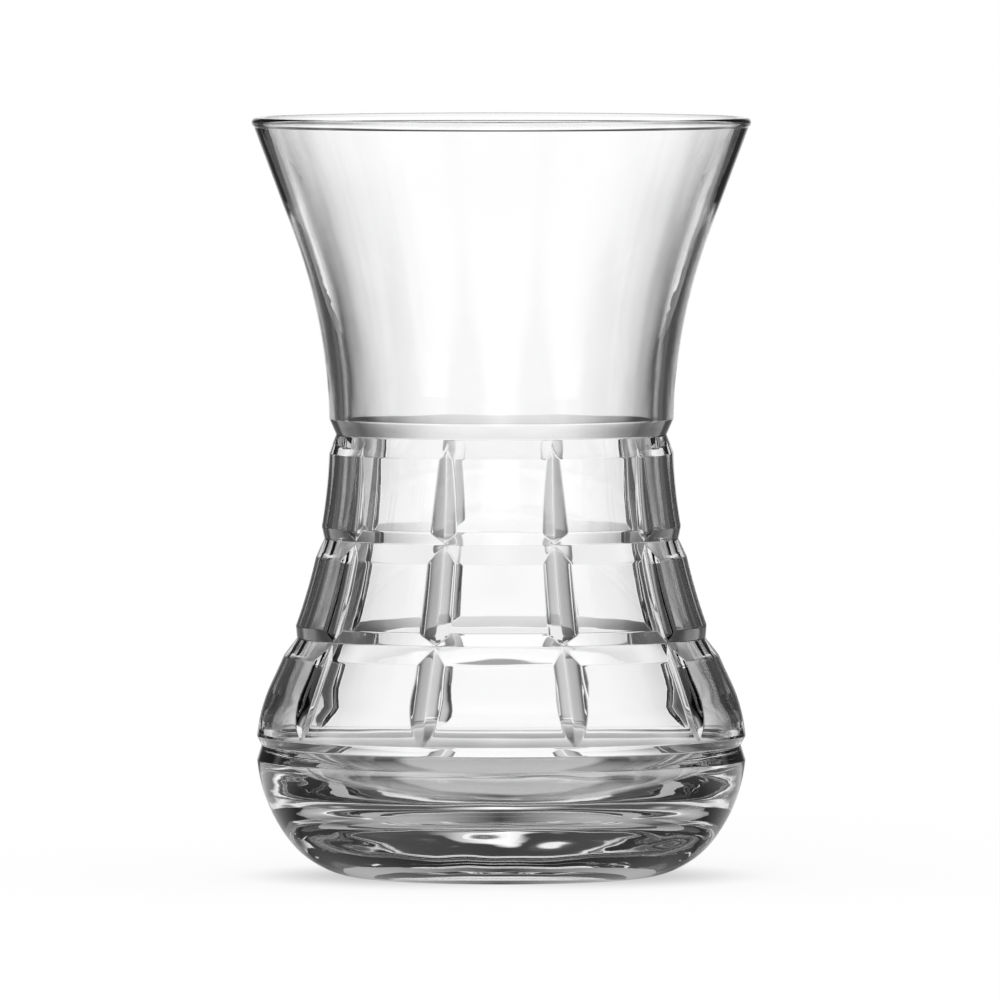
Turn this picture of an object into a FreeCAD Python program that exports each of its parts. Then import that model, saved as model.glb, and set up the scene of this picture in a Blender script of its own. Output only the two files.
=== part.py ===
"""Turkish tea glass, empty: an hourglass tumbler of clear pressed glass with three bands of bevelled blocks.

One piece of glass, modelled as one body. Millimetres, +Z up. The origin is the centre of the foot, on the
surface that the glass stands on. Four turned V rings part the bands from each other and from the plain glass,
and upright V cuts part the blocks of a band, so that a block of each band faces -Y.
"""

import FreeCAD, Part
import Sketcher
import math
import os
from dataclasses import dataclass

# Driving dimensions. Each alias becomes a cell of the spreadsheet, and the features are bound to the cells.
SIZES = {
    # mouth: a rounded lip at the end of a straight flare
    "glass_height": 83.6,
    "rim_radius": 27.5,
    "lip_radius": 0.62,
    "flare_length": 11.5,
    # waist and belly of the smooth outside; the belly's arc would reach so far below the table if it went on
    "waist_radius": 18.93,
    "waist_height": 49.0,
    "belly_radius": 26.95,
    "belly_height": 14.3,
    "belly_undershoot": 2.28,
    # foot: a flat ring around a shallow dome
    "heel_reach": 11.75,
    "foot_ring_width": 2.6,
    "recess_depth": 0.7,
    # inside
    "waist_wall": 1.7,
    "base_thickness": 7.6,
    "floor_corner_radius": 8.0,
    # bands, from the top one's ring just below the waist down to the ring at the belly
    "waist_ring_drop": 0.3,
    "upper_band_height": 11.45,
    "middle_band_height": 10.95,
    "lower_band_height": 11.8,
    # V rings: depth of the bottom line below the smooth outside, and how far the V reaches up and down from it
    "waist_ring_depth": 0.73,
    "waist_ring_rise": 1.7,
    "waist_ring_fall": 2.1,
    "upper_ring_depth": 0.55,
    "upper_ring_rise": 1.35,
    "upper_ring_fall": 2.05,
    "lower_ring_depth": 0.64,
    "lower_ring_rise": 1.4,
    "lower_ring_fall": 2.0,
    "belly_ring_depth": 0.55,
    "belly_ring_rise": 1.0,
    "belly_ring_fall": 1.6,
    # upright V cuts: the lift is how far outside a ring's bottom line the cut's own bottom line passes
    "cut_count": 10,
    "cut_side_angle": 16.0,
    "waist_cut_lift": 0.61,
    "upper_cut_lift": 0.07,
    "lower_cut_lift": 0.065,
    "belly_cut_lift": 0.85,
    "belly_cut_arc_radius": 79.0,
    "cutter_length": 4.0,
    "cutter_clearance": 1.0,
}
RINGS = ("belly", "lower", "upper", "waist")
BANDS_BELOW_WAIST = {
    "waist": (),
    "upper": ("upper_band_height",),
    "lower": ("upper_band_height", "middle_band_height"),
    "belly": ("upper_band_height", "middle_band_height", "lower_band_height"),
}
START, END, CENTRE = 1, 2, 3
ORIGIN = (-1, 1)
X_AXIS, Y_AXIS = -1, -2
SOLVER_STEPS = 30


def point(x, y):
    return FreeCAD.Vector(x, y, 0)


def bearing(start, end):
    """The direction from one point to another, in degrees."""
    return math.degrees(math.atan2(end.y - start.y, end.x - start.x))


def on_circle(centre, radius, angle_deg):
    angle = math.radians(angle_deg)
    return centre + point(radius * math.cos(angle), radius * math.sin(angle))


def arc(centre, radius, start_deg, end_deg):
    """A counter-clockwise arc from one angle to the other."""
    circle = Part.Circle(centre, FreeCAD.Vector(0, 0, 1), radius)
    return Part.ArcOfCircle(circle, math.radians(start_deg), math.radians(end_deg))


@dataclass(frozen=True)
class Curve:
    """One arc of the smooth outside, from its low to its high end. A hollow one is centred beside the glass."""

    name: str
    centre: FreeCAD.Vector
    radius: float
    hollow: bool
    low: float
    high: float

    @property
    def lower_end(self):
        return END if self.hollow else START

    @property
    def upper_end(self):
        return START if self.hollow else END

    def at(self, height):
        """The point of the outside at a height."""
        half_chord = math.sqrt(self.radius**2 - (height - self.centre.y) ** 2)
        return point(self.centre.x + (-half_chord if self.hollow else half_chord), height)

    def piece(self, low, high):
        """The arc between two heights."""
        lower = bearing(self.centre, self.at(low)) % 360
        upper = bearing(self.centre, self.at(high)) % 360
        start, end = (upper, lower) if self.hollow else (lower, upper)
        return arc(self.centre, self.radius, start, end)


def lip_centre():
    return point(SIZES["rim_radius"] - SIZES["lip_radius"], SIZES["glass_height"] - SIZES["lip_radius"])


def throat_lean():
    """How far the flare leans, in degrees, where it leaves the throat's arc and runs straight to the lip.

    With t the tangent of half the lean, the line that is tangent to the arc and to the lip solves
    rise t^3 + (lip - width) t^2 - (rise + 2 flare) t + (width + lip) = 0.
    """
    lip, flare = SIZES["lip_radius"], SIZES["flare_length"]
    width = lip_centre().x - SIZES["waist_radius"]
    rise = lip_centre().y - SIZES["waist_height"] - flare
    t = 0.0
    for _ in range(SOLVER_STEPS):
        value = rise * t**3 + (lip - width) * t**2 - (rise + 2 * flare) * t + width + lip
        slope = 3 * rise * t**2 + 2 * (lip - width) * t - (rise + 2 * flare)
        t -= value / slope
    return 2 * math.degrees(math.atan(t))


def outside_curves():
    """The arcs of the smooth outside, from the heel up to the flare: belly, waist and throat."""
    width = SIZES["belly_radius"] - SIZES["waist_radius"]
    rise = SIZES["waist_height"] - SIZES["belly_height"]
    belly_arc = SIZES["belly_height"] + SIZES["belly_undershoot"]
    waist_arc = (width**2 + rise**2) / (2 * width) - belly_arc
    throat_top = lip_centre().y - SIZES["flare_length"]
    throat_arc = (throat_top - SIZES["waist_height"]) / math.sin(math.radians(throat_lean()))
    belly = point(SIZES["belly_radius"] - belly_arc, SIZES["belly_height"])
    waist = point(SIZES["waist_radius"] + waist_arc, SIZES["waist_height"])
    throat = point(SIZES["waist_radius"] + throat_arc, SIZES["waist_height"])
    heel, _ = heel_circle(belly, belly_arc)
    heel_top = on_circle(belly, belly_arc, bearing(belly, heel)).y
    meeting = on_circle(belly, belly_arc, bearing(belly, waist)).y
    return (
        Curve("belly", belly, belly_arc, False, heel_top, meeting),
        Curve("waist", waist, waist_arc, True, meeting, SIZES["waist_height"]),
        Curve("throat", throat, throat_arc, True, SIZES["waist_height"], throat_top),
    )


def heel_circle(belly, belly_arc):
    """Centre and radius of the arc that leaves the flat foot and runs into the belly's arc."""
    foot_edge = SIZES["belly_radius"] - SIZES["heel_reach"]
    offset = foot_edge - belly.x
    heel = (belly_arc**2 - offset**2 - belly.y**2) / (2 * (belly_arc - belly.y))
    return point(foot_edge, heel), heel


def ring_height(ring):
    drops = [SIZES[band] for band in BANDS_BELOW_WAIST[ring]]
    return SIZES["waist_height"] - SIZES["waist_ring_drop"] - sum(drops)


def ring_height_expression(ring):
    terms = ["Sizes.waist_height", "Sizes.waist_ring_drop"]
    terms += [f"Sizes.{band}" for band in BANDS_BELOW_WAIST[ring]]
    return " - ".join(terms)


def ring_bottom(ring, curves):
    """The point of a ring's bottom line."""
    height = ring_height(ring)
    return curve_at(height, curves).at(height) - point(SIZES[f"{ring}_ring_depth"], 0)


def curve_at(height, curves):
    """The arc of the outside that is there at a height."""
    return next(curve for curve in curves if curve.low <= height <= curve.high)


def origin_feature(body, role):
    """One of the body's own planes or axes, by its role, such as XZ_Plane."""
    return next(feature for feature in body.Origin.OriginFeatures if feature.Role == role)


class Outline:
    """A sketch on one of the body's own planes, drawn edge by edge."""

    def __init__(self, body, name, plane):
        self.sketch = body.newObject("Sketcher::SketchObject", name)
        self.sketch.AttachmentSupport = [(origin_feature(body, plane), "")]
        self.sketch.MapMode = "FlatFace"

    def draw(self, geometry, construction=False):
        return self.sketch.addGeometry(geometry, construction)

    def line(self, start, end, construction=False):
        return self.draw(Part.LineSegment(start, end), construction)

    def constrain(self, kind, *arguments):
        return self.sketch.addConstraint(Sketcher.Constraint(kind, *arguments))

    def join(self, first, first_end, second, second_end, smooth=False):
        """Joins two edges end to end, and tangentially where smooth."""
        self.constrain("Tangent" if smooth else "Coincident", first, first_end, second, second_end)

    def size(self, name, kind, arguments, value, expression):
        """A named dimension that follows the spreadsheet."""
        index = self.constrain(kind, *arguments, value)
        self.sketch.renameConstraint(index, name)
        self.sketch.setExpression(f"Constraints.{name}", expression)

    def across(self, name, vertex, value, expression):
        self.size(name, "DistanceX", (*ORIGIN, *vertex), value, expression)

    def above(self, name, vertex, value, expression):
        self.size(name, "DistanceY", (*ORIGIN, *vertex), value, expression)

    def radius(self, name, edge, value, expression):
        self.size(name, "Radius", (edge,), value, expression)

    def measure(self, name, kind, arguments, value):
        """A named reference dimension, which reads the sketch and drives nothing in it."""
        index = self.constrain(kind, *arguments, value)
        self.sketch.setDriving(index, False)
        self.sketch.renameConstraint(index, name)

    def upright(self, name, x, low, high, expression):
        """An upright construction line from one height to another, at a radius that follows the spreadsheet."""
        line = self.line(point(x, low), point(x, high), construction=True)
        self.constrain("Vertical", line)
        self.across(name, (line, START), x, expression)
        self.constrain("DistanceY", *ORIGIN, line, START, low)
        self.constrain("DistanceY", *ORIGIN, line, END, high)
        return line


def draw_ring(outline, ring, curves):
    """The two lines of a turned V ring in the half section: its lower and its upper side."""
    bottom = ring_bottom(ring, curves)
    lower_height = bottom.y - SIZES[f"{ring}_ring_fall"]
    upper_height = bottom.y + SIZES[f"{ring}_ring_rise"]
    lower = outline.line(curve_at(lower_height, curves).at(lower_height), bottom)
    upper = outline.line(bottom, curve_at(upper_height, curves).at(upper_height))
    outline.join(lower, END, upper, START)
    height = ring_height_expression(ring)
    outline.above(f"{ring}_bottom", (lower, END), bottom.y, height)
    outline.above(f"{ring}_lower", (lower, START), lower_height, f"{height} - Sizes.{ring}_ring_fall")
    outline.above(f"{ring}_upper", (upper, END), upper_height, f"{height} + Sizes.{ring}_ring_rise")
    return lower, upper


def size_ring(outline, ring, lower, piece, curve):
    """Sets a ring's bottom line so deep below the arc that it is turned into."""
    depth = SIZES[f"{ring}_ring_depth"]
    height = ring_height(ring)
    skin = outline.draw(Part.Point(curve.at(height)), construction=True)
    outline.constrain("PointOnObject", skin, START, piece)
    outline.constrain("Horizontal", skin, START, lower, END)
    outline.size(f"{ring}_depth", "DistanceX", (lower, END, skin, START), depth, f"Sizes.{ring}_ring_depth")
    outline.measure(f"{ring}_bottom_radius", "DistanceX", (*ORIGIN, lower, END), curve.at(height).x - depth)


def draw_outside(outline, curves, heel_arc):
    """The outside from the heel up to the flare, with its rings.

    Returns the first piece of each arc by name, and the last edge with the end that the flare joins.
    """
    pieces, joined, rings = {}, set(), {}
    tail, tail_curve = (heel_arc, END), "heel"
    level = curves[0].low
    for ring in (*RINGS, None):
        stop = ring_height(ring) - SIZES[f"{ring}_ring_fall"] if ring else curves[-1].high
        for curve in curves:
            low, high = max(level, curve.low), min(stop, curve.high)
            if high <= low:
                continue
            piece = outline.draw(curve.piece(low, high))
            outline.join(*tail, piece, curve.lower_end, smooth=tail_curve is not None)
            if tail_curve is not None:
                joined.add(curve.name)
            if curve.name in pieces:
                outline.constrain("Coincident", pieces[curve.name], CENTRE, piece, CENTRE)
                outline.constrain("Equal", pieces[curve.name], piece)
            pieces.setdefault(curve.name, piece)
            tail, tail_curve = (piece, curve.upper_end), curve.name
        if ring:
            rings[ring], upper = draw_ring(outline, ring, curves)
            outline.join(*tail, rings[ring], START)
            tail, tail_curve = (upper, END), None
            level = ring_height(ring) + SIZES[f"{ring}_ring_rise"]
    for ring, lower in rings.items():
        curve = curve_at(ring_height(ring), curves)
        size_ring(outline, ring, lower, pieces[curve.name], curve)
    size_curves(outline, curves, pieces, joined)
    return pieces, tail


def size_curves(outline, curves, pieces, joined):
    """Sets the arcs of the outside: their levels, their widest and narrowest radius and how they meet."""
    belly, waist, _ = curves
    belly_line = outline.upright("belly_side", SIZES["belly_radius"], belly.low, belly.high, "Sizes.belly_radius")
    waist_line = outline.upright("waist_side", SIZES["waist_radius"], waist.low, waist.high, "Sizes.waist_radius")
    outline.constrain("Tangent", pieces["belly"], belly_line)
    outline.above("belly_level", (pieces["belly"], CENTRE), belly.centre.y, "Sizes.belly_height")
    outline.radius(
        "belly_curve", pieces["belly"], belly.radius, "Sizes.belly_height + Sizes.belly_undershoot"
    )
    outline.constrain("Tangent", pieces["waist"], waist_line)
    outline.above("waist_level", (pieces["waist"], CENTRE), waist.centre.y, "Sizes.waist_height")
    outline.measure("waist_curve", "Radius", (pieces["waist"],), waist.radius)
    if "waist" not in joined:
        outline.constrain("Tangent", pieces["belly"], pieces["waist"])
    if "throat" in joined:
        outline.above("throat_foot", (pieces["throat"], END), waist.centre.y, "Sizes.waist_height")
    else:
        outline.constrain("Tangent", pieces["throat"], waist_line)
        outline.above("throat_level", (pieces["throat"], CENTRE), waist.centre.y, "Sizes.waist_height")


def draw_underside(outline, curves):
    """The dome, the flat foot and the heel. Returns the dome's edge and the heel's."""
    belly = curves[0]
    heel, heel_radius = heel_circle(belly.centre, belly.radius)
    recess, depth = heel.x - SIZES["foot_ring_width"], SIZES["recess_depth"]
    dome_radius = (recess**2 + depth**2) / (2 * depth)
    dome = point(0, depth - dome_radius)
    under = outline.draw(arc(dome, dome_radius, bearing(dome, point(recess, 0)), 90))
    foot = outline.line(point(recess, 0), point(heel.x, 0))
    heel_arc = outline.draw(arc(heel, heel_radius, -90, bearing(belly.centre, heel)))
    outline.join(under, START, foot, START)
    outline.join(foot, END, heel_arc, START, smooth=True)
    outline.constrain("Horizontal", foot)
    outline.constrain("PointOnObject", foot, START, X_AXIS)
    outline.constrain("PointOnObject", under, CENTRE, Y_AXIS)
    outline.across("foot_edge", (foot, END), heel.x, "Sizes.belly_radius - Sizes.heel_reach")
    outline.size("foot_ring", "DistanceX", (foot, START, foot, END), heel.x - recess, "Sizes.foot_ring_width")
    outline.above("recess_top", (under, END), depth, "Sizes.recess_depth")
    return under, heel_arc


def draw_lip(outline, throat, tail):
    """The straight flare and the lip. Returns the lip's edge."""
    lip, lip_radius = lip_centre(), SIZES["lip_radius"]
    lean = throat_lean()
    flare = outline.line(throat.at(throat.high), on_circle(lip, lip_radius, -lean))
    inner_lean = bore_lean(throat)
    lip_arc = outline.draw(arc(lip, lip_radius, -lean, 180 - inner_lean))
    outline.join(*tail, flare, START, smooth=True)
    outline.join(flare, END, lip_arc, START, smooth=True)
    outline.above(
        "flare_foot",
        (flare, START),
        throat.high,
        "Sizes.glass_height - Sizes.lip_radius - Sizes.flare_length",
    )
    outline.radius("lip_curve", lip_arc, lip_radius, "Sizes.lip_radius")
    outline.across("rim_side", (lip_arc, CENTRE), lip.x, "Sizes.rim_radius - Sizes.lip_radius")
    outline.above("rim_level", (lip_arc, CENTRE), lip.y, "Sizes.glass_height - Sizes.lip_radius")
    return lip_arc


def bore_lean(throat):
    """How far the inside of the flare leans, in degrees: tangent to the lip and to the throat's inner arc."""
    lip = lip_centre()
    reach = throat.radius + SIZES["waist_wall"] - SIZES["lip_radius"]
    between = throat.centre - lip
    return -bearing(lip, throat.centre) - math.degrees(math.acos(reach / between.Length))


def draw_inside(outline, curves, pieces, lip_arc, under):
    """The inner wall, parallel to the smooth outside from the throat down, and the floor."""
    _, waist, throat = curves
    wall = SIZES["waist_wall"]
    lean = bore_lean(throat)
    throat_inner, waist_inner = throat.radius + wall, waist.radius + wall
    corner_radius, floor_level = SIZES["floor_corner_radius"], SIZES["base_thickness"]
    reach, drop = waist_inner + corner_radius, waist.centre.y - floor_level - corner_radius
    corner = point(waist.centre.x - math.sqrt(reach**2 - drop**2), floor_level + corner_radius)
    corner_end = bearing(corner, waist.centre)

    bore = outline.line(
        on_circle(lip_centre(), SIZES["lip_radius"], 180 - lean),
        on_circle(throat.centre, throat_inner, 180 - lean),
    )
    above = outline.draw(arc(throat.centre, throat_inner, 180 - lean, 180))
    below = outline.draw(arc(waist.centre, waist_inner, 180, 180 + corner_end))
    inner_corner = outline.draw(arc(corner, corner_radius, -90, corner_end))
    floor = outline.line(point(corner.x, floor_level), point(0, floor_level))
    middle = outline.line(point(0, floor_level), point(0, SIZES["recess_depth"]))
    outline.join(lip_arc, END, bore, START, smooth=True)
    outline.join(bore, END, above, START, smooth=True)
    outline.join(above, END, below, START)
    outline.join(below, END, inner_corner, END, smooth=True)
    outline.join(inner_corner, START, floor, START, smooth=True)
    outline.join(floor, END, middle, START)
    outline.join(middle, END, under, END)
    outline.constrain("Coincident", above, CENTRE, pieces["throat"], CENTRE)
    outline.constrain("Coincident", below, CENTRE, pieces["waist"], CENTRE)
    outline.constrain("Horizontal", floor)
    outline.constrain("Vertical", middle)
    outline.constrain("PointOnObject", middle, END, Y_AXIS)
    outline.across("bore_side", (below, START), SIZES["waist_radius"] - wall, "Sizes.waist_radius - Sizes.waist_wall")
    outline.above("bore_level", (below, START), waist.centre.y, "Sizes.waist_height")
    outline.radius("corner_curve", inner_corner, corner_radius, "Sizes.floor_corner_radius")
    outline.above("floor_level", (floor, END), floor_level, "Sizes.base_thickness")


def outline_sketch(body):
    """Half section of the glass: underside, outside with its rings, lip, inside and floor."""
    outline = Outline(body, "OutlineSketch", "XZ_Plane")
    curves = outside_curves()
    under, heel_arc = draw_underside(outline, curves)
    pieces, tail = draw_outside(outline, curves, heel_arc)
    lip_arc = draw_lip(outline, curves[-1], tail)
    draw_inside(outline, curves, pieces, lip_arc, under)
    return outline.sketch


def path_arc(lower, upper, radius, hollow):
    """The arc from one point up to another, with its centre in the air where hollow, or else in the glass."""
    chord = upper - lower
    outward = point(chord.y, -chord.x) * (1 / chord.Length)
    offset = math.sqrt(radius**2 - (chord.Length / 2) ** 2)
    centre = (lower + upper) * 0.5 + outward * (offset if hollow else -offset)
    start, end = (upper, lower) if hollow else (lower, upper)
    return arc(centre, radius, bearing(centre, start) % 360, bearing(centre, end) % 360)


def cut_sketch(body):
    """What an upright cutter sweeps in the section plane: from the V's bottom line out into the air."""
    outline = Outline(body, "UprightCutSketch", "XZ_Plane")
    curves = outside_curves()
    crossings = [ring_bottom(ring, curves) + point(SIZES[f"{ring}_cut_lift"], 0) for ring in RINGS]
    outside = SIZES["belly_radius"] + SIZES["cutter_clearance"]

    # bottom line of the V: an arc over each band, from ring to ring
    paths = []
    for index, (ring_below, ring_above) in enumerate(zip(RINGS, RINGS[1:])):
        hollow = ring_below != "belly"
        if hollow:
            radius = curves[1].radius + SIZES[f"{ring_above}_ring_depth"] - SIZES[f"{ring_above}_cut_lift"]
            expression = (
                "OutlineSketch.Constraints.waist_curve"
                f" + (Sizes.{ring_above}_ring_depth - Sizes.{ring_above}_cut_lift) * 1 mm"
            )
        else:
            radius, expression = SIZES["belly_cut_arc_radius"], "Sizes.belly_cut_arc_radius"
        path = outline.draw(path_arc(crossings[index], crossings[index + 1], radius, hollow))
        outline.radius(f"{ring_above}_path", path, radius, expression)
        paths.append((path, END, START) if hollow else (path, START, END))
    for (path, _, upper_end), (next_path, lower_end, _) in zip(paths, paths[1:]):
        outline.join(path, upper_end, next_path, lower_end)

    # closing lines
    top_level, foot_level = crossings[-1].y, crossings[0].y
    top = outline.line(crossings[-1], point(outside, top_level))
    side = outline.line(point(outside, top_level), point(outside, foot_level))
    foot = outline.line(point(outside, foot_level), crossings[0])
    outline.join(paths[-1][0], paths[-1][2], top, START)
    outline.join(top, END, side, START)
    outline.join(side, END, foot, START)
    outline.join(foot, END, paths[0][0], paths[0][1])
    outline.constrain("Horizontal", top)
    outline.constrain("Vertical", side)
    outline.constrain("Horizontal", foot)
    outline.across("outside", (side, START), outside, "Sizes.belly_radius + Sizes.cutter_clearance")

    # where the bottom line crosses each ring
    vertices = [(path, lower_end) for path, lower_end, _ in paths] + [(paths[-1][0], paths[-1][2])]
    for ring, vertex, crossing in zip(RINGS, vertices, crossings):
        outline.above(f"{ring}_level", vertex, crossing.y, ring_height_expression(ring))
        outline.across(
            f"{ring}_crossing",
            vertex,
            crossing.x,
            f"OutlineSketch.Constraints.{ring}_bottom_radius + Sizes.{ring}_cut_lift * 1 mm",
        )
    return outline.sketch


def add_pocket(body, name, profile, side):
    """Cuts one side of the upright V: the profile is swept outwards and to one side, +1 or -1."""
    pocket = body.newObject("PartDesign::Pocket", name)
    pocket.Profile = profile
    pocket.Type = 0
    pocket.UseCustomVector = True
    pocket.AlongSketchNormal = False
    angle = math.radians(SIZES["cut_side_angle"])
    pocket.Direction = FreeCAD.Vector(math.sin(angle), side * math.cos(angle), 0)
    pocket.setExpression("Direction.x", "sin(Sizes.cut_side_angle * 1 deg)")
    pocket.setExpression("Direction.y", f"{side} * cos(Sizes.cut_side_angle * 1 deg)")
    pocket.setExpression("Length", "Sizes.cutter_length")
    return pocket


def add_sizes(doc):
    """The spreadsheet of driving dimensions: a name, a plain number and its alias in each row."""
    sheet = doc.addObject("Spreadsheet::Sheet", "Sizes")
    for row, (alias, value) in enumerate(SIZES.items(), start=1):
        sheet.set(f"A{row}", alias)
        sheet.set(f"B{row}", str(value))
        sheet.setAlias(f"B{row}", alias)
    doc.recompute()


def check(features):
    """Stops the build if a feature is not a valid shape."""
    for feature in features:
        if "Invalid" in feature.State or "Error" in feature.State:
            raise RuntimeError(f"{feature.Name} did not recompute: {feature.State}")
        if feature.Shape.isNull() or not feature.Shape.isValid():
            raise RuntimeError(f"{feature.Name} has no valid shape")


def main():
    doc = FreeCAD.newDocument("tea_glass")
    add_sizes(doc)
    body = doc.addObject("PartDesign::Body", "Glass")
    body.Label = "glass"

    turned = body.newObject("PartDesign::Revolution", "TurnedGlass")
    turned.Profile = outline_sketch(body)
    turned.ReferenceAxis = (turned.Profile[0], ["V_Axis"])
    turned.Angle = 360
    doc.recompute()
    check([turned])
    turned_volume = turned.Shape.Volume

    profile = cut_sketch(body)
    pockets = [add_pocket(body, "CutLeft", profile, -1), add_pocket(body, "CutRight", profile, 1)]
    doc.recompute()
    check(pockets)

    cuts = body.newObject("PartDesign::PolarPattern", "UprightCuts")
    cuts.Originals = pockets
    cuts.Axis = (origin_feature(body, "Z_Axis"), [""])
    cuts.Angle = 360
    cuts.setExpression("Occurrences", "Sizes.cut_count")
    body.Tip = cuts
    doc.recompute()
    check([cuts, body])
    if cuts.Shape.Volume >= turned_volume or len(body.Shape.Solids) != 1:
        raise RuntimeError("the upright cuts remove no glass, or part it")
    print(f"turned {turned_volume:.1f} mm3, finished {body.Shape.Volume:.1f} mm3")

    os.makedirs("parts", exist_ok=True)
    body.Shape.exportStep(f"parts/{body.Label}.step")


main()
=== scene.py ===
"""Looks of the tea glass: one clear pressed glass, on a pale floor in a plain studio.

Sizes of the glass are in millimetres, as a glass maker would state them, and everything is built in metres.
"""

import logging
import math
from dataclasses import dataclass, field
from enum import Enum
from typing import Any, Sequence, Union

import bpy
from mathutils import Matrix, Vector


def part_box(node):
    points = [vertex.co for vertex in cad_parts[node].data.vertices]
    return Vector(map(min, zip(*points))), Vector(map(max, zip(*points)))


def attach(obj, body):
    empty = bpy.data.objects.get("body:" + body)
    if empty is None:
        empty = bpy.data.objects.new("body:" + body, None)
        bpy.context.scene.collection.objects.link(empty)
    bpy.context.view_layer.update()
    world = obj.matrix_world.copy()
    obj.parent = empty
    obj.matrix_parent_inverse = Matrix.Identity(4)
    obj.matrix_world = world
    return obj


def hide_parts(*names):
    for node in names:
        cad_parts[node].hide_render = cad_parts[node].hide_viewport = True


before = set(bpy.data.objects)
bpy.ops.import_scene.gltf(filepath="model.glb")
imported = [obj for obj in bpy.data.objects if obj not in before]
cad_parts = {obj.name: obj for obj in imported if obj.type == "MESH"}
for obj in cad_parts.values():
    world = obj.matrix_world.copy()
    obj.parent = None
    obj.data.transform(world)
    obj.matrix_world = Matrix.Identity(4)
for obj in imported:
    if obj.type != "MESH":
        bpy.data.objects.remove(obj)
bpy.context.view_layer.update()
MM = 0.001
log = logging.getLogger("tea_glass")

WHITE = (1.0, 1.0, 1.0, 1.0)
NO_LESS = 0.0001
DIAGONAL = math.sqrt(0.5)

Value = Union[float, int, str, Sequence[float], "Term"]
Point = tuple[float, float]
Colour = tuple[float, float, float, float]


# ---------------------------------------------------------------- node work


@dataclass(frozen=True)
class Term:
    """A node socket that can be used in Python expressions, which add Math nodes."""

    bench: "Bench"
    socket: bpy.types.NodeSocket

    def _math(self, operation: str, *values: Value) -> "Term":
        """Adds one Math node."""
        return self.bench.math(operation, *values)

    def __add__(self, other: Value) -> "Term":
        """self + other."""
        return self._math("ADD", self, other)

    def __radd__(self, other: Value) -> "Term":
        """other + self."""
        return self._math("ADD", other, self)

    def __sub__(self, other: Value) -> "Term":
        """self - other."""
        return self._math("SUBTRACT", self, other)

    def __rsub__(self, other: Value) -> "Term":
        """other - self."""
        return self._math("SUBTRACT", other, self)

    def __mul__(self, other: Value) -> "Term":
        """self * other."""
        return self._math("MULTIPLY", self, other)

    def __rmul__(self, other: Value) -> "Term":
        """other * self."""
        return self._math("MULTIPLY", other, self)

    def __truediv__(self, other: Value) -> "Term":
        """self / other."""
        return self._math("DIVIDE", self, other)

    def __pow__(self, other: Value) -> "Term":
        """self ** other."""
        return self._math("POWER", self, other)

    def __abs__(self) -> "Term":
        """The size of self, without its sign."""
        return self._math("ABSOLUTE", self)

    def at_least(self, other: Value) -> "Term":
        """The larger of the two."""
        return self._math("MAXIMUM", self, other)

    def at_most(self, other: Value) -> "Term":
        """The smaller of the two."""
        return self._math("MINIMUM", self, other)

    def ramp(self, low: float, high: float) -> "Term":
        """Rises smoothly from 0 at low to 1 at high, or falls where high is the smaller.

        Args:
            low: Value of self at which the result is 0.
            high: Value of self at which the result is 1.

        Returns:
            The eased value.
        """
        if low > high:
            return 1 - self.ramp(high, low)
        settings = {"interpolation_type": "SMOOTHSTEP"}
        inputs = {"Value": self, "From Min": low, "From Max": high}
        return self.bench.add("ShaderNodeMapRange", settings, inputs).out("Result")


@dataclass(frozen=True)
class Placed:
    """A node that has been added to a tree."""

    bench: "Bench"
    node: bpy.types.Node

    def out(self, name: Union[str, int]) -> Term:
        """One output of the node, by name or index."""
        return Term(self.bench, self.node.outputs[name])


class Bench:
    """A node tree under construction."""

    def __init__(self, tree: bpy.types.NodeTree) -> None:
        """Takes an empty tree to work on."""
        self.tree = tree

    def add(
        self, kind: str, settings: dict[str, Any] | None = None, inputs: dict[Any, Value] | None = None
    ) -> Placed:
        """Adds one node.

        Args:
            kind: The node's type.
            settings: Properties of the node, which are set before its sockets.
            inputs: Values or links of its sockets, by name or index.

        Returns:
            The node.
        """
        node = self.tree.nodes.new(kind)
        for name, value in (settings or {}).items():
            setattr(node, name, value)
        for name, value in (inputs or {}).items():
            self.feed(node.inputs[name], value)
        return Placed(self, node)

    def feed(self, socket: bpy.types.NodeSocket, value: Value) -> None:
        """Links a socket to a term, or sets its value.

        Args:
            socket: The input socket.
            value: What it gets.
        """
        if isinstance(value, Term):
            self.tree.links.new(value.socket, socket)
        else:
            socket.default_value = value

    def math(self, operation: str, *values: Value) -> Term:
        """Adds a Math node and returns its result."""
        return self.add("ShaderNodeMath", {"operation": operation}, dict(enumerate(values))).out(0)

    def parts(self, vector: Term) -> tuple[Term, Term, Term]:
        """The three parts of a vector."""
        split = self.add("ShaderNodeSeparateXYZ", inputs={0: vector})
        return split.out(0), split.out(1), split.out(2)

    def stretched(self, vector: Term, by: Sequence[float]) -> Term:
        """A vector with each of its parts multiplied."""
        return self.add("ShaderNodeVectorMath", {"operation": "MULTIPLY"}, {0: vector, 1: by}).out(0)


def new_shader(name: str) -> tuple[bpy.types.Material, Bench]:
    """An empty node material and the bench for it.

    Args:
        name: The material's name.

    Returns:
        The material and its bench.
    """
    material = bpy.data.materials.new(name)
    material.use_nodes = True
    material.node_tree.nodes.clear()
    return material, Bench(material.node_tree)


def from_the_middle(x: Term, y: Term) -> Term:
    """Distance from the middle, never quite 0."""
    return ((x * x + y * y) ** 0.5).at_least(NO_LESS)


# ---------------------------------------------------------------- finishes


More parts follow.
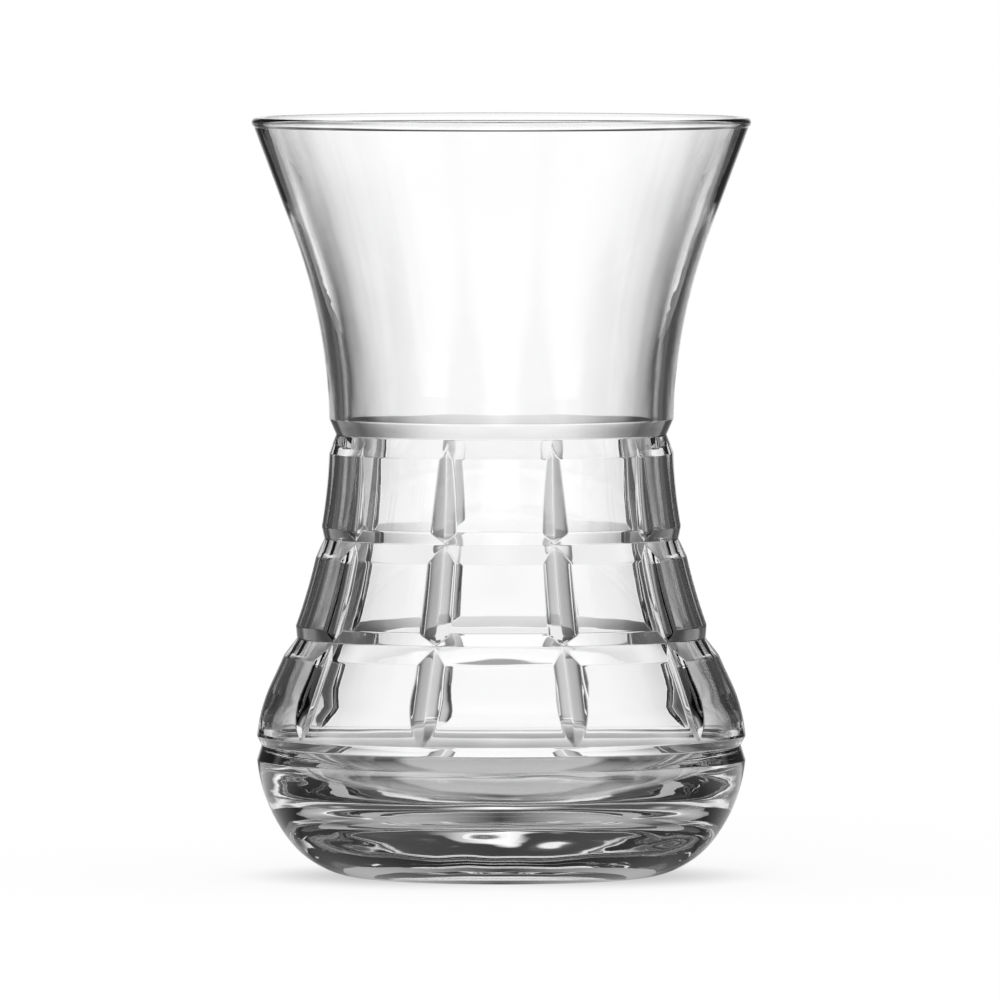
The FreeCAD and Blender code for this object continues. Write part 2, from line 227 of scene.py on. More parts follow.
@dataclass(frozen=True)
class ClearGlass:
    """Clear soda-lime glass: a smooth fire-polished skin with the faint unevenness of a pressed piece."""

    name: str = "clear_pressed_glass"
    tint: Colour = (0.992, 0.994, 0.993, 1.0)
    index_of_refraction: float = 1.52
    polish: float = 0.004
    dull_patches: float = 0.02
    patch_reach: tuple[float, float] = (0.5, 0.8)
    patch_scale: float = 160.0
    patch_detail: float = 2.0
    ripple_scale: float = 260.0
    ripple_detail: float = 1.0
    ripple_height: float = 0.01 * MM
    ripple_stretch: tuple[float, float, float] = (0.45, 0.45, 2.0)

    def make(self) -> bpy.types.Material:
        """The material.

        Returns:
            A plain glass shader with patches in its roughness and ripples in its bump.
        """
        material, bench = new_shader(self.name)
        place = bench.add("ShaderNodeTexCoord").out("Object")
        patches = bench.add(
            "ShaderNodeTexNoise",
            inputs={"Vector": place, "Scale": self.patch_scale, "Detail": self.patch_detail},
        )
        ripples = bench.add(
            "ShaderNodeTexNoise",
            inputs={
                "Vector": bench.stretched(place, self.ripple_stretch),
                "Scale": self.ripple_scale,
                "Detail": self.ripple_detail,
            },
        )
        dullness = patches.out(0).ramp(*self.patch_reach) * self.dull_patches + self.polish
        bump = bench.add(
            "ShaderNodeBump",
            inputs={"Strength": 1.0, "Distance": self.ripple_height, "Height": ripples.out(0)},
        )
        shader = bench.add(
            "ShaderNodeBsdfPrincipled",
            inputs={
                "Base Color": self.tint,
                "Roughness": dullness,
                "IOR": self.index_of_refraction,
                "Transmission Weight": 1.0,
                "Normal": bump.out("Normal"),
            },
        )
        bench.add("ShaderNodeOutputMaterial", inputs={"Surface": shader.out("BSDF")})
        return material


@dataclass(frozen=True)
class PaleFloor:
    """A white table top, as the glass on it needs it.

    Through gloss and glass it shows strips of light, a shaded ring around the foot and light under the foot. Seen
    by itself it is plain white, with a soft shadow on the left and right of the foot, which is partly real, cast
    on the paper, and partly painted shadow in the glow.
    """

    name: str = "pale_floor"
    glow: float = 0.86
    paper: Colour = (0.22, 0.22, 0.22, 1.0)
    # painted shadow: how far the directly seen glow darkens beside the foot, and over what distance
    painted_contact_shadow: float = 0.3
    painted_contact_shadow_reach: tuple[float, float] = (0.031, 0.016)
    shade: float = 0.06
    diagonal_shade_relief: float = 0.45
    shade_reach: tuple[float, float] = (0.11, 0.03)
    foot_light: float = 0.75
    foot_reach: tuple[float, float] = (0.013, 0.0105)
    strip_edge: tuple[float, float] = (0.06, 0.026)
    side_light: float = 0.08

    def strips(self, x: Term, y: Term) -> Term:
        """Brightness of the strips of light that cross under the glass, in eight directions.

        Args:
            x: Place from left to right.
            y: Place from front to back.

        Returns:
            1 in the middle of a strip, falling to the light beside them.
        """
        slanting = (abs(x) - abs(y)) * DIAGONAL
        aside = abs(x).at_most(abs(y)).at_most(abs(slanting))
        return aside.ramp(*self.strip_edge) * (1 - self.side_light) + self.side_light

    def make(self) -> bpy.types.Material:
        """The material.

        Returns:
            A glowing white with a little plain paper under it.
        """
        material, bench = new_shader(self.name)
        path = bench.add("ShaderNodeLightPath")
        x, y, _ = bench.parts(bench.add("ShaderNodeTexCoord").out("Object"))
        distance = from_the_middle(x, y)
        slanting = abs(x * y) * 2 / (distance * distance)
        # painted shade and light, seen only through gloss and glass: a shaded ring around the foot, lighter on the
        # diagonals, strips of light and light under the foot
        shaded = distance.ramp(*self.shade_reach) * (1 - slanting * self.diagonal_shade_relief)
        beside = 1 - shaded * (1 - self.shade)
        lit = (beside * self.strips(x, y)).at_least(distance.ramp(*self.foot_reach) * self.foot_light)
        in_glass = path.out("Is Glossy Ray").at_least(path.out("Is Transmission Ray"))
        # painted shadow beside the foot, strongest to the left and right; the paper below also takes real shadow
        painted_contact_shadow = distance.ramp(*self.painted_contact_shadow_reach) * abs(x) / distance * self.painted_contact_shadow
        seen = (path.out("Is Camera Ray") * (1 - painted_contact_shadow)).at_least(in_glass * lit)
        glow = bench.add("ShaderNodeEmission", inputs={"Color": WHITE, "Strength": seen * self.glow})
        paper = bench.add("ShaderNodeBsdfDiffuse", inputs={"Color": self.paper})
        both = bench.add("ShaderNodeAddShader", inputs={0: glow.out(0), 1: paper.out(0)})
        bench.add("ShaderNodeOutputMaterial", inputs={"Surface": both.out(0)})
        return material


# ---------------------------------------------------------------- the shape of the glass


class Ring(Enum):
    """The turned V rings, from the belly up."""

    BELLY = "belly"
    LOWER = "lower"
    UPPER = "upper"
    WAIST = "waist"


@dataclass(frozen=True)
class Notch:
    """One turned V ring.

    Its depth is taken below the smooth outside. Rise and fall are its reach up and down, and cut_lift is how far
    the bottom line of the cuts stays above its own.
    """

    depth: float
    rise: float
    fall: float
    cut_lift: float


@dataclass(frozen=True)
class Arc:
    """An arc of the half section, centred in the air beside the glass where hollow."""

    across: float
    level: float
    radius: float
    hollow: bool

    def at(self, height: float) -> float:
        """Radius of the glass at a height."""
        half_chord = math.sqrt(self.radius**2 - (height - self.level) ** 2)
        return self.across + (-half_chord if self.hollow else half_chord)


def soft_min(first: float, second: float, width: float) -> float:
    """The smaller of two numbers, eased where they differ by less than a width."""
    near = max(width - abs(first - second), 0.0) / width
    return min(first, second) - near * near * width / 4


def soft_max(first: float, second: float, width: float) -> float:
    """The larger of two numbers, eased where they differ by less than a width."""
    return -soft_min(-first, -second, width)


def ease(share: float) -> float:
    """Rises smoothly from 0 to 1."""
    share = min(max(share, 0.0), 1.0)
    return share * share * (3 - 2 * share)


def evenly(low: float, high: float, step: float) -> list[float]:
    """Values from low up to just before high, about a step apart."""
    count = max(1, round(abs(high - low) / step))
    return [low + (high - low) * index / count for index in range(count)]


@dataclass(frozen=True)
class GlassForm:
    """The form of the glass in millimetres: its half section, its rings and its upright cuts."""

    height: float
    rim_radius: float
    lip_radius: float = 0.6
    bead: float = math.radians(36.0)
    flare_length: float = 11.5
    waist_radius: float = 18.93
    waist_height: float = 49.0
    belly_radius: float = 26.95
    belly_height: float = 14.3
    belly_undershoot: float = 2.28
    heel_reach: float = 11.75
    foot_ring_width: float = 2.6
    recess_depth: float = 0.7
    wall: float = 1.7
    base_thickness: float = 7.6
    floor_corner_radius: float = 8.0
    ring_drop: float = 0.3
    band_heights: tuple[float, float, float] = (11.8, 10.95, 11.45)
    cut_count: int = 10
    cut_side_angle: float = math.radians(13.5)
    cut_edge_angle: float = math.radians(26.0)
    cut_edge_start: float = 1.25
    cut_edge_rounding: float = 0.25
    least_share: float = 0.1
    lean_rounds: int = 30
    width_rounds: int = 24
    belly_cut_arc_radius: float = 79.0
    ridge_rounding: float = 0.035
    valley_rounding: float = 0.06
    notches: dict[Ring, Notch] = field(
        default_factory=lambda: {
            Ring.BELLY: Notch(depth=0.55, rise=1.0, fall=1.6, cut_lift=0.85),
            Ring.LOWER: Notch(depth=0.69, rise=1.4, fall=2.0, cut_lift=0.08),
            Ring.UPPER: Notch(depth=0.55, rise=1.35, fall=2.05, cut_lift=0.07),
            Ring.WAIST: Notch(depth=0.73, rise=1.7, fall=2.1, cut_lift=0.61),
        }
    )

    @property
    def belly(self) -> Arc:
        """The round arc of the belly."""
        radius = self.belly_height + self.belly_undershoot
        return Arc(self.belly_radius - radius, self.belly_height, radius, hollow=False)

    @property
    def waist(self) -> Arc:
        """The hollow arc from the belly up to the waist.

        Returns:
            The arc that is upright at the waist and tangent to the belly's.
        """
        width = self.belly_radius - self.waist_radius
        rise = self.waist_height - self.belly_height
        radius = (width**2 + rise**2) / (2 * width) - self.belly.radius
        return Arc(self.waist_radius + radius, self.waist_height, radius, hollow=True)

    @property
    def meeting_height(self) -> float:
        """Where the belly's arc meets the waist's.

        Returns:
            The height of the place where they touch.
        """
        belly, waist = self.belly, self.waist
        share = belly.radius / (belly.radius + waist.radius)
        return belly.level + (waist.level - belly.level) * share

    @property
    def lip(self) -> Point:
        """Centre of the lip's arc."""
        return self.rim_radius - self.lip_radius, self.height - self.lip_radius

    @property
    def throat_top(self) -> float:
        """Where the throat's arc ends and the straight flare begins."""
        return self.lip[1] - self.flare_length

    @property
    def flare_lean(self) -> float:
        """How far the flare leans, so that it is tangent to the throat's arc and to the lip.

        Returns:
            The angle from upright, in radians.
        """
        width = self.lip[0] - self.waist_radius
        rise = self.throat_top - self.waist_height
        lean = 0.0
        for _ in range(self.lean_rounds):
            half = math.tan(lean / 2)
            away = (width - rise * half) * math.cos(lean) + self.lip_radius
            lean = (math.asin(min(away / self.flare_length, 1.0)) + lean) / 2
        return lean

    @property
    def throat(self) -> Arc:
        """The hollow arc from the waist up to the flare."""
        radius = (self.throat_top - self.waist_height) / math.sin(self.flare_lean)
        return Arc(self.waist_radius + radius, self.waist_height, radius, hollow=True)

    def ring_height(self, ring: Ring) -> float:
        """Height of a ring's bottom line."""
        place = list(Ring).index(ring)
        return self.waist_height - self.ring_drop - sum(self.band_heights[place:])

    def smooth(self, height: float) -> float:
        """Radius of the smooth outside, between the heel and the flare.

        Args:
            height: Height above the table.

        Returns:
            The radius without rings and cuts.
        """
        if height < self.meeting_height:
            return self.belly.at(height)
        return self.waist.at(height) if height < self.waist_height else self.throat.at(height)

    def ring_bottom(self, ring: Ring) -> float:
        """Radius of a ring's bottom line."""
        return self.smooth(self.ring_height(ring)) - self.notches[ring].depth

    def turned(self, height: float) -> float:
        """Radius of the outside with its rings, between the heel and the flare.

        Args:
            height: Height above the table.

        Returns:
            The radius without the upright cuts.
        """
        radius = self.smooth(height)
        for ring, notch in self.notches.items():
            level, bottom = self.ring_height(ring), self.ring_bottom(ring)
            sides = []
            for reach in (notch.rise, -notch.fall):
                edge = self.smooth(level + reach)
                sides.append(bottom + (height - level) * (edge - bottom) / reach)
            radius = soft_min(radius, soft_max(*sides, self.ridge_rounding), self.ridge_rounding)
        return radius

    def cut_line(self, height: float) -> float:
        """Radius of the bottom line of an upright cut.

        Args:
            height: Height above the table.

        Returns:
            The radius, or one beyond the glass above and below the bands.
        """
        rings = list(Ring)
        for index, (below, above) in enumerate(zip(rings, rings[1:])):
            low, high = self.ring_height(below), self.ring_height(above)
            if low <= height <= high:
                break
        else:
            return 2 * self.belly_radius
        start = (self.ring_bottom(below) + self.notches[below].cut_lift, low)
        end = (self.ring_bottom(above) + self.notches[above].cut_lift, high)
        hollow = index > 0
        radius = self.belly_cut_arc_radius
        if hollow:
            radius = self.waist.radius + self.notches[above].depth - self.notches[above].cut_lift
        across, up = end[0] - start[0], end[1] - start[1]
        length = math.hypot(across, up)
        offset = math.sqrt(radius**2 - (length / 2) ** 2) * (1 if hollow else -1)
        middle = (start[0] + end[0]) / 2
        centre = (middle + up / length * offset, (low + high) / 2 - across / length * offset)
        return Arc(*centre, radius, hollow).at(height)

    def cut_side(self, height: float, angle: float) -> float:
        """Radius of the side of an upright cut, which is steeper towards its block.

        Args:
            height: Height above the table.
            angle: Angle about the axis from the cut's bottom line, in radians.

        Returns:
            The radius, or one beyond the glass where the side has left it.
        """
        line = self.cut_line(height)
        aside = math.hypot(math.sin(angle), self.valley_rounding / line)
        steeper = math.tan(self.cut_edge_angle) - math.tan(self.cut_side_angle)
        beyond = soft_max(aside - self.cut_edge_start / line, 0.0, self.cut_edge_rounding / line)
        share = math.cos(angle) - math.tan(self.cut_side_angle) * aside - steeper * beyond
        return line / max(share, self.least_share)

    def cut_half_width(self, height: float) -> float:
        """Half the width of a cut where it meets the face of its block.

        Args:
            height: Height above the table.

        Returns:
            The half width as an angle about the axis, in radians.
        """
        turned = self.turned(height)
        low, high = 0.0, math.pi / self.cut_count
        for _ in range(self.width_rounds):
            middle = (low + high) / 2
            low, high = (middle, high) if self.cut_side(height, middle) < turned else (low, middle)
        return low

    def outside(self, height: float, angle: float) -> float:
        """Radius of the outside with its rings and cuts, at an angle from the nearest cut's bottom line."""
        return soft_min(self.turned(height), self.cut_side(height, angle), self.ridge_rounding)


@dataclass(frozen=True)
class Row:
    """One line of the surface around the glass. A cut row takes its radius from the rings and cuts."""

    radius: float
    height: float
    cut: bool = False
    inside: bool = False


@dataclass(frozen=True)
class TeaGlass:
    """The glass as a mesh: one sector of the wall, repeated around the axis."""

    form: GlassForm
    finish: ClearGlass = ClearGlass()
    name: str = "tea_glass"
    crease_rows: tuple[float, ...] = (-0.24, -0.12, -0.05, 0.0, 0.05, 0.12, 0.24)
    flare_share: float = 0.95
    shares_at_lip: tuple[float, ...] = (0.97, 0.985, 0.994)
    face_step: float = 0.8
    arc_step: float = 1.6
    tight_step: float = math.radians(9.0)
    shares_in_cut: tuple[float, ...] = (0.0, 0.04, 0.11, 0.24, 0.38, 0.52, 0.64, 0.74, 0.84, 0.94)
    shares_on_face: tuple[float, ...] = (0.0, 0.015, 0.04, 0.14, 0.36, 0.66, 1.0)
    narrowest_cut: float = 0.1
    plain_cut: float = math.radians(11.5)
    plain_run: float = 12.0
    wave_height: float = 0.05
    wave_scale: float = 110.0
    wave_detail: float = 1.0
    wave_ease: float = 2.0
    wave_top_margin: float = 6.0
    streak_height: float = 0.28
    streak_scale: float = 130.0
    streak_detail: float = 2.0
    streak_stretch: tuple[float, float, float] = (0.5, 0.5, 3.0)
    streak_reach: tuple[float, float] = (17.0, 11.0)
    streak_inside: float = 0.8
    inside_waves: float = 7.0
    inside_streaks: float = 5.0
    seed: float = 3.0
    weld: float = 0.0005

    def heel_rows(self) -> list[Row]:
        """Underside and heel: the dome from its middle, the flat foot and the arc up to the belly's.

        Returns:
            The rows, from the middle outwards.
        """
        form = self.form
        foot, heel, end = self.heel_arc()
        recess = foot - form.foot_ring_width
        dome = (recess**2 + form.recess_depth**2) / (2 * form.recess_depth)
        rows = [Row(0.0, form.recess_depth)]
        for radius in evenly(0.0, recess, self.arc_step)[1:]:
            rows.append(Row(radius, form.recess_depth - dome + math.sqrt(dome**2 - radius**2)))
        rows += [Row(radius, 0.0) for radius in evenly(recess, foot, self.face_step)]
        for angle in evenly(-math.pi / 2, end, self.tight_step / 2):
            rows.append(Row(foot + heel * math.cos(angle), heel + heel * math.sin(angle)))
        return rows

    def heel_arc(self) -> tuple[float, float, float]:
        """The arc from the flat foot up to the belly's.

        Returns:
            The foot's outer radius, the arc's radius and the angle where it runs into the belly's.
        """
        belly = self.form.belly
        foot = self.form.belly_radius - self.form.heel_reach
        offset = foot - belly.across
        heel = (belly.radius**2 - offset**2 - belly.level**2) / (2 * (belly.radius - belly.level))
        return foot, heel, math.atan2(heel - belly.level, offset)

    def heel_top(self) -> float:
        """Height at which the heel's arc runs into the belly's."""
        return self.form.belly.level + self.form.belly.radius * math.sin(self.heel_arc()[2])

    def cut_rows(self) -> list[Row]:
        """The outside from the heel up to the flare, with rows close to each crease of the rings.

        Returns:
            The rows, upwards.
        """
        form = self.form
        creases = []
        for ring, notch in form.notches.items():
            level = form.ring_height(ring)
            creases += [level - notch.fall, level, level + notch.rise]
        heights = {round(crease + offset, 4) for crease in creases for offset in self.crease_rows}
        reach = self.crease_rows[-1]
        stops = [self.heel_top(), *creases, form.throat_top]
        for low, high in zip(stops, stops[1:]):
            start = low + (reach if low in creases else 0.0)
            end = high - (reach if high in creases else 0.0)
            step = self.face_step if low in creases or low < form.belly_height else self.arc_step
            heights.update(round(value, 4) for value in evenly(start, end, step))
        return [Row(form.turned(height), height, cut=True) for height in sorted(heights)]

    def lip_rows(self) -> list[Row]:
        """The straight flare, the lip and the bore down to the throat's inner arc.

        Returns:
            The rows, up the outside, over the lip and down the inside.
        """
        form, lean = self.form, self.form.flare_lean
        bore_lean, throat, top = self.bore_lean(), form.throat, form.throat_top
        low, inner = -lean - form.bead, math.pi - bore_lean + form.bead
        reach = throat.radius + form.wall
        under = (throat.at(top), top)
        bore = (throat.across - reach * math.cos(bore_lean), throat.level + reach * math.sin(bore_lean))
        outer_end, inner_end = self.lip_point(low), self.lip_point(inner)
        shares = [*evenly(0.0, self.flare_share, self.arc_step / form.flare_length), *self.shares_at_lip]
        rows = []
        for share in shares:
            across, up = (start + (end - start) * share for start, end in zip(under, outer_end))
            rows.append(Row(across, up))
        for angle in [*evenly(low, inner, self.tight_step), inner]:
            rows.append(Row(*self.lip_point(angle)))
        for share in reversed(shares[1:]):
            across, up = (start + (end - start) * share for start, end in zip(bore, inner_end))
            rows.append(Row(across, up, inside=True))
        return rows

    def lip_point(self, angle: float) -> Point:
        """A point of the lip's bead, by its angle from level outwards."""
        across, up = self.form.lip
        return across + self.form.lip_radius * math.cos(angle), up + self.form.lip_radius * math.sin(angle)

    def bore_lean(self) -> float:
        """How far the inside of the flare leans, tangent to the lip and to the throat's inner arc.

        Returns:
            The angle from upright, in radians.
        """
        form, throat, lip = self.form, self.form.throat, self.form.lip
        across, down = throat.across - lip[0], lip[1] - throat.level
        reach = throat.radius + form.wall - form.lip_radius
        return math.atan2(down, across) - math.acos(reach / math.hypot(across, down))

    def inner_rows(self) -> list[Row]:
        """The inner wall from the throat down, the rounded corner and the floor to its middle.

        Returns:
            The rows, downwards and then inwards.
        """
        form, throat, waist = self.form, self.form.throat, self.form.waist
        rows = []
        inner = Arc(throat.across, throat.level, throat.radius + form.wall, hollow=True)
        top = throat.level + inner.radius * math.sin(self.bore_lean())
        for height in evenly(top, throat.level, self.arc_step):
            rows.append(Row(inner.at(height), height, inside=True))
        inner = Arc(waist.across, waist.level, waist.radius + form.wall, hollow=True)
        level = form.base_thickness + form.floor_corner_radius
        drop = waist.level - level
        corner = waist.across - math.sqrt((inner.radius + form.floor_corner_radius) ** 2 - drop**2)
        end = math.atan2(drop, waist.across - corner)
        bottom = waist.level - inner.radius * math.sin(end)
        for height in evenly(waist.level, bottom, self.arc_step):
            rows.append(Row(inner.at(height), height, inside=True))
        for angle in evenly(end, -math.pi / 2, self.tight_step / 2):
            radius = corner + form.floor_corner_radius * math.cos(angle)
            rows.append(Row(radius, level + form.floor_corner_radius * math.sin(angle), inside=True))
        for radius in evenly(corner, 0.0, self.arc_step):
            rows.append(Row(radius, form.base_thickness, inside=True))
        return [*rows, Row(0.0, form.base_thickness, inside=True)]

    def cut_guide(self, row: Row) -> float:
        """Half the angle about the axis that the columns of a cut take up in a row.

        Args:
            row: The row.

        Returns:
            The angle, in radians.
        """
        form = self.form
        narrowest = self.narrowest_cut / max(row.radius, 1.0)
        top, bottom = form.ring_height(Ring.WAIST), form.ring_height(Ring.BELLY)
        if not row.cut:
            return self.plain_cut
        if bottom <= row.height <= top:
            return max(form.cut_half_width(row.height), narrowest)
        away = row.height - top if row.height > top else bottom - row.height
        return narrowest + (self.plain_cut - narrowest) * ease(away / self.plain_run)

    def columns(self, row: Row) -> list[float]:
        """Angles of a row's points over one sector, from the middle of one block to the middle of the next.

        Args:
            row: The row.

        Returns:
            The angles from the cut's bottom line, in radians.
        """
        guide, middle = self.cut_guide(row), math.pi / self.form.cut_count
        half = [guide * share for share in self.shares_in_cut]
        half += [guide + (middle - guide) * share for share in self.shares_on_face]
        return [-angle for angle in reversed(half[1:])] + half

    def sector(self) -> bpy.types.Mesh:
        """One sector of the wall, from the middle of the underside over the lip to the middle of the floor.

        Returns:
            The mesh, which stores on its points whether they are inside.
        """
        rows = [*self.heel_rows(), *self.cut_rows(), *self.lip_rows(), *self.inner_rows()]
        first, *between, last = rows
        points = [(0.0, 0.0, first.height)]
        inside = [0.0]
        for row in between:
            for angle in self.columns(row):
                radius = self.form.outside(row.height, angle) if row.cut else row.radius
                points.append((radius * math.cos(angle), radius * math.sin(angle), row.height))
                inside.append(float(row.inside))
        points.append((0.0, 0.0, last.height))
        inside.append(1.0)
        width = len(self.columns(between[0]))
        faces: list[tuple[int, ...]] = []
        end = len(points) - 1
        last_row = end - width
        for column in range(width - 1):
            faces.append((0, 1 + column + 1, 1 + column))
            faces.append((last_row + column, last_row + column + 1, end))
            for index in range(len(between) - 1):
                start = 1 + index * width + column
                faces.append((start, start + 1, start + width + 1, start + width))
        mesh = bpy.data.meshes.new(self.name + "_sector")
        mesh.from_pydata([[value * MM for value in point] for point in points], [], faces)
        side = mesh.attributes.new("inside", "FLOAT", "POINT")
        side.data.foreach_set("value", inside)
        mesh.validate()
        return mesh

    def tree(self, material: bpy.types.Material) -> bpy.types.NodeTree:
        """The nodes that repeat the sector around the axis, weld it and make its faces slightly uneven.

        Args:
            material: The finish of the glass.

        Returns:
            The node tree.
        """
        tree = bpy.data.node_groups.new("around_the_axis", "GeometryNodeTree")
        face = tree.interface
        face.new_socket("Geometry", in_out="INPUT", socket_type="NodeSocketGeometry")
        defaults = {
            "Blocks": ("NodeSocketInt", self.form.cut_count),
            "Weld": ("NodeSocketFloat", self.weld * MM),
            "Wave height": ("NodeSocketFloat", self.wave_height * MM),
            "Wave scale": ("NodeSocketFloat", self.wave_scale),
            "Streak height": ("NodeSocketFloat", self.streak_height * MM),
            "Streak scale": ("NodeSocketFloat", self.streak_scale),
            "Seed": ("NodeSocketFloat", self.seed),
            "Finish": ("NodeSocketMaterial", material),
        }
        for name, (kind, value) in defaults.items():
            face.new_socket(name, in_out="INPUT", socket_type=kind).default_value = value
        face.new_socket("Geometry", in_out="OUTPUT", socket_type="NodeSocketGeometry")
        bench = Bench(tree)
        given = bench.add("NodeGroupInput")

        wedge = bench.add("GeometryNodeGeometryToInstance", inputs={0: given.out("Geometry")})
        copies = bench.add(
            "GeometryNodeDuplicateElements",
            {"domain": "INSTANCE"},
            {"Geometry": wedge.out(0), "Amount": given.out("Blocks")},
        )
        turn = copies.out("Duplicate Index") * math.tau / given.out("Blocks")
        rotation = bench.add("ShaderNodeCombineXYZ", inputs={"Z": turn})
        placed = bench.add(
            "GeometryNodeRotateInstances",
            inputs={
                "Instances": copies.out("Geometry"),
                "Rotation": rotation.out(0),
                "Local Space": False,
            },
        )
        real = bench.add("GeometryNodeRealizeInstances", inputs={0: placed.out(0)})
        welded = bench.add(
            "GeometryNodeMergeByDistance", inputs={"Geometry": real.out(0), "Distance": given.out("Weld")}
        )

        place = bench.add("GeometryNodeInputPosition").out(0)
        normal = bench.add("GeometryNodeInputNormal").out(0)
        stored = bench.add("GeometryNodeInputNamedAttribute", {"data_type": "FLOAT"}, {"Name": "inside"})
        side = stored.out("Attribute")
        waves = bench.add(
            "ShaderNodeTexNoise",
            {"noise_dimensions": "4D"},
            {
                "Vector": place,
                "W": side * self.inside_waves + given.out("Seed"),
                "Scale": given.out("Wave scale"),
                "Detail": self.wave_detail,
            },
        )
        streaks = bench.add(
            "ShaderNodeTexNoise",
            {"noise_dimensions": "4D"},
            {
                "Vector": bench.stretched(place, self.streak_stretch),
                "W": side * self.inside_streaks + given.out("Seed"),
                "Scale": given.out("Streak scale"),
                "Detail": self.streak_detail,
            },
        )
        height = bench.parts(place)[2]
        low, high = self.wave_ease * MM, (self.form.height - self.wave_top_margin) * MM
        kept = height.ramp(low, 3 * low) * height.ramp(high + low, high)
        by_side = side * self.streak_inside + (1 - self.streak_inside)
        near_base = height.ramp(*(reach * MM for reach in self.streak_reach)) * height.ramp(low, 2 * low) * by_side
        shift = (waves.out(0) - 0.5) * given.out("Wave height") * kept
        shift = (streaks.out(0) - 0.5) * given.out("Streak height") * near_base + shift
        offset = bench.add("ShaderNodeVectorMath", {"operation": "SCALE"}, {0: normal, "Scale": shift})
        moved = bench.add(
            "GeometryNodeSetPosition", inputs={"Geometry": welded.out(0), "Offset": offset.out(0)}
        )
        clean = bench.add(
            "GeometryNodeRemoveAttribute", inputs={"Geometry": moved.out(0), "Name": "inside"}
        )
        smooth = bench.add("GeometryNodeSetShadeSmooth", inputs={"Geometry": clean.out(0)})
        whole = bench.add("GeometryNodeRealizeInstances", inputs={0: smooth.out(0)})
        dressed = bench.add(
            "GeometryNodeSetMaterial", inputs={"Geometry": whole.out(0), "Material": given.out("Finish")}
        )
        bench.add("NodeGroupOutput", inputs={0: dressed.out(0)})
        return tree

    def build(self) -> bpy.types.Object:
        """The finished glass, riding on the CAD body and standing for its one node.

        Returns:
            The glass.
        """
        material = self.finish.make()
        seed = bpy.data.objects.new(self.name + "_sector", self.sector())
        bpy.context.scene.collection.objects.link(seed)
        modifier = seed.modifiers.new("around_the_axis", "NODES")
        modifier.node_group = self.tree(material)
        for item in modifier.node_group.interface.items_tree:
            if item.in_out == "INPUT" and item.name != "Geometry":
                modifier[item.identifier] = item.default_value
        bpy.context.view_layer.update()
        graph = bpy.context.evaluated_depsgraph_get()
        mesh = bpy.data.meshes.new_from_object(seed.evaluated_get(graph))
        mesh.name = self.name
        seed.modifiers.clear()
        bpy.data.objects.remove(seed)
        piece = bpy.data.objects.new(self.name, mesh)
        bpy.context.scene.collection.objects.link(piece)
        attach(piece, "root")
        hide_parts("glass")
        log.info("%s: %d faces", piece.name, len(mesh.polygons))
        return piece


# ---------------------------------------------------------------- studio


@dataclass(frozen=True)
class Floor:
    """A round pale table top that the glass stands on."""

    finish: PaleFloor = PaleFloor()
    radius: float = 0.35
    sides: int = 96

    def build(self) -> bpy.types.Object:
        """The floor, which is part of the studio and not of the glass.

        Returns:
            The floor.
        """
        turns = [math.tau * index / self.sides for index in range(self.sides)]
        rim = [(self.radius * math.cos(turn), self.radius * math.sin(turn), 0.0) for turn in turns]
        mesh = bpy.data.meshes.new("studio_floor")
        mesh.from_pydata(rim, [], [tuple(range(self.sides))])
        mesh.materials.append(self.finish.make())
        floor = bpy.data.objects.new("studio_floor", mesh)
        bpy.context.scene.collection.objects.link(floor)
        log.info("studio floor: %.0f mm across", 2 * self.radius / MM)
        return floor


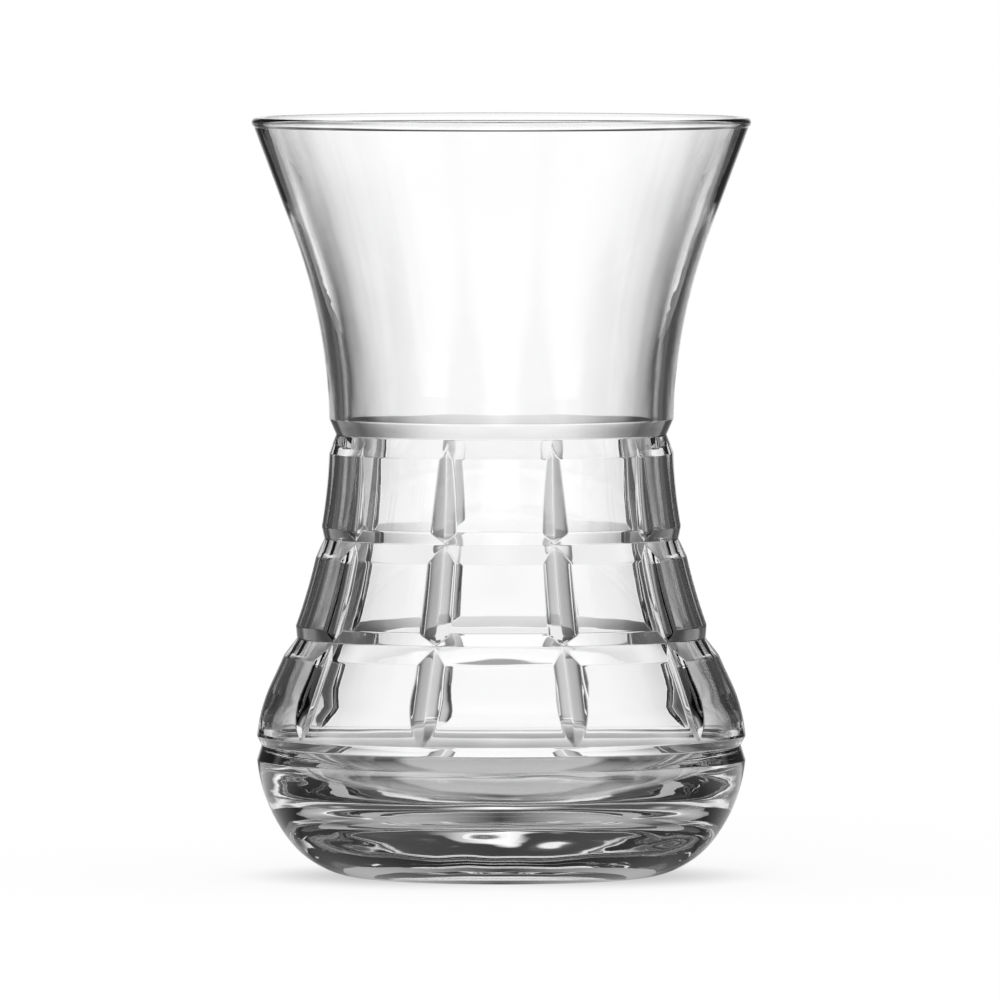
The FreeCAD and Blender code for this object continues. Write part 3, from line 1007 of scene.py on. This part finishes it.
@dataclass(frozen=True)
class Studio:
    """The light around the glass: bright screens on four sides at table height, and a dark room above them.

    Each screen dims towards its sides, so that clear glass shows its edges and cuts against it.
    """

    fill: float = 0.6
    middle: float = 1.22
    slope: float = 4.1
    narrowing: float = 1.3
    screen_shift: float = 0.01
    corner_screen: float = 0.5
    corner_slope: float = 4.4
    brightest: float = 1.1
    room: float = 0.065
    high_room: float = 0.045
    side_wall: float = 0.15
    side_reach: tuple[float, float] = (0.7, 0.85)
    screen_top: tuple[float, float] = (0.29, 0.16)
    overhead: float = 0.9
    overhead_reach: tuple[float, float] = (0.7, 0.9)
    lamp_power: float = 1.0
    lamp_size: float = 0.6
    lamp_place: tuple[float, float, float] = (-0.15, -0.7, 0.5)

    def surroundings(self, bench: Bench) -> Term:
        """Brightness by direction: screens that dim to their sides, the room around and the overhead panel.

        Args:
            bench: The world's bench.

        Returns:
            The brightness.
        """
        x, y, z = bench.parts(bench.add("ShaderNodeTexCoord").out("Generated"))
        level = from_the_middle(x, y)
        aside = abs(x / level + self.screen_shift).at_most(abs(y) / level * self.narrowing)
        screen = (self.middle - aside * self.slope).at_most(self.brightest)
        walls = (abs(x) / level).ramp(*self.side_reach) * self.side_wall + self.room
        slanting = abs(abs(x) - abs(y)) / level * DIAGONAL
        corners = self.corner_screen - slanting * self.corner_slope
        around = screen.at_least(corners).at_least(walls) - self.high_room
        panel = z.ramp(*self.overhead_reach) * self.overhead
        return around * z.ramp(*self.screen_top) + panel + self.high_room

    def build(self) -> None:
        """The world and the lamp."""
        world = bpy.data.worlds.new("studio")
        world.use_nodes = True
        world.node_tree.nodes.clear()
        bpy.context.scene.world = world
        bench = Bench(world.node_tree)
        path = bench.add("ShaderNodeLightPath")
        through_glass = self.surroundings(bench)
        seen_in_glass = path.out("Is Glossy Ray").at_least(path.out("Is Transmission Ray"))
        light = seen_in_glass * (through_glass - self.fill) + self.fill
        strength = path.out("Is Camera Ray") * (1 - light) + light
        background = bench.add("ShaderNodeBackground", inputs={"Color": WHITE, "Strength": strength})
        bench.add("ShaderNodeOutputWorld", inputs={"Surface": background.out(0)})

        lamp = bpy.data.lights.new("soft_lamp", "AREA")
        lamp.shape = "DISK"
        lamp.size = self.lamp_size
        lamp.energy = self.lamp_power
        holder = bpy.data.objects.new("soft_lamp", lamp)
        holder.location = self.lamp_place
        holder.rotation_mode = "QUATERNION"
        holder.rotation_quaternion = (-Vector(self.lamp_place)).to_track_quat("-Z", "Y")
        holder.visible_glossy = False
        holder.visible_transmission = False
        bpy.context.scene.collection.objects.link(holder)
        log.info("studio light: fill %.2f, lamp %.1f W", self.fill, self.lamp_power)


@dataclass(frozen=True)
class Viewpoint:
    """The camera: far away with a long lens, a little above the glass."""

    distance: float = 1.98
    height: float = 0.121
    turn: float = math.radians(0.65)
    target: tuple[float, float, float] = (-0.00015, 0.0, 0.04145)
    lens: float = 648.0
    sensor: float = 36.0

    def build(self) -> bpy.types.Object:
        """The camera.

        Returns:
            The camera, set as the scene's.
        """
        data = bpy.data.cameras.new("viewpoint")
        data.lens = self.lens
        data.sensor_width = self.sensor
        camera = bpy.data.objects.new("viewpoint", data)
        bpy.context.scene.collection.objects.link(camera)
        across, back = math.sin(self.turn) * self.distance, -math.cos(self.turn) * self.distance
        place = Vector((across, back, self.height))
        camera.location = place
        camera.rotation_mode = "QUATERNION"
        camera.rotation_quaternion = (Vector(self.target) - place).to_track_quat("-Z", "Y")
        bpy.context.scene.camera = camera
        return camera


def set_up_render() -> None:
    """Colours are shown as they are, and light passes through as many walls as the glass has in a row."""
    scene = bpy.context.scene
    scene.view_settings.view_transform = "Standard"
    scene.cycles.max_bounces = 14
    scene.cycles.transmission_bounces = 14
    scene.cycles.glossy_bounces = 8
    scene.cycles.caustics_reflective = False
    scene.cycles.caustics_refractive = False


def main() -> None:
    """Builds the glass, the studio and the camera."""
    logging.basicConfig(level=logging.INFO, format="%(name)s: %(message)s")
    low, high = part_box("glass")
    form = GlassForm(height=(high.z - low.z) / MM, rim_radius=(high.x - low.x) / 2 / MM)
    Viewpoint().build()
    TeaGlass(form).build()
    Floor().build()
    Studio().build()
    set_up_render()


if __name__ == "__main__":
    main()
